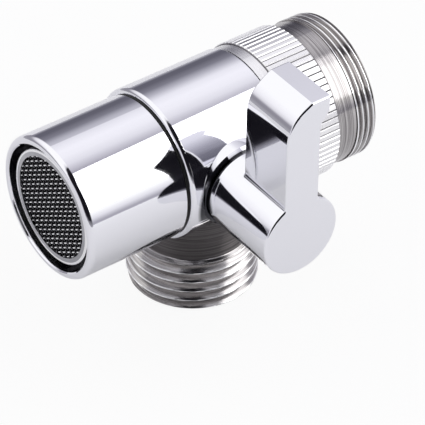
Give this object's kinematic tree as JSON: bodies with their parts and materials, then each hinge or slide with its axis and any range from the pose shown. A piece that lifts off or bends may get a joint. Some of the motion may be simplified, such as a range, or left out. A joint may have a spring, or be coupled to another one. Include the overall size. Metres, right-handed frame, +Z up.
{
  "type": "faucet aerator adapter",
  "caption": "Chromed tap adapter: knurled swivel inlet collar, side lever valve in the barrel, meshed aerator mouth and a threaded outlet below.",
  "frame": {"origin": "centre of the threaded outlet's end face, on which the fitting stands", "axes": "+X along the barrel towards the swivel inlet collar (the aerator faces -X); +Z up, away from the threaded outlet; the lever is on the -Y side"},
  "size_m": [0.0539, 0.0397, 0.0496],
  "materials": {
    "polished_chrome": "mirror-polished chrome plate on brass",
    "satin_nickel": "fine turned nickel plate on brass",
    "turned_brass": "fine turned",
    "stainless_steel": "bright rolled and drawn",
    "black_acetal": "moulded, satin",
    "white_acetal": "moulded, satin",
    "black_rubber": "moulded, matt"
  },
  "bodies": {
    "valve": {"valve_body": "polished_chrome", "stop_pin": "stainless_steel", "collar_clip": "stainless_steel", "neck_seal": "black_rubber", "inlet_washer": "black_rubber", "gland_nut": "polished_chrome", "thrust_washer": "white_acetal", "joint_gasket": "black_rubber", "aerator_sleeve": "polished_chrome", "aerator_washer": "black_rubber", "aerator_cage": "black_acetal", "flow_disc": "white_acetal", "inlet_strainer": "stainless_steel", "inner_screen": "stainless_steel", "middle_screen": "stainless_steel", "outlet_screen": "stainless_steel", "screen_cap": "stainless_steel"},
    "lever": {"handle": "polished_chrome", "handle_screw": "stainless_steel", "diverter_spool": "turned_brass", "shutoff_pad": "black_rubber", "rear_spool_seal": "black_rubber", "front_spool_seal": "black_rubber", "stem_seal": "black_rubber"},
    "collar": {"swivel_collar": "satin_nickel"}
  },
  "joints": [
    {"name": "lever_turn", "type": "hinge", "parent": "valve", "child": "lever", "pos_m": [0, 0, 0.0251], "axis": [0, 1, 0], "range_deg": [0, 90]},
    {"name": "collar_swivel", "type": "hinge", "parent": "valve", "child": "collar", "pos_m": [0.018, 0, 0.0251], "axis": [1, 0, 0], "continuous": true}
  ]
}
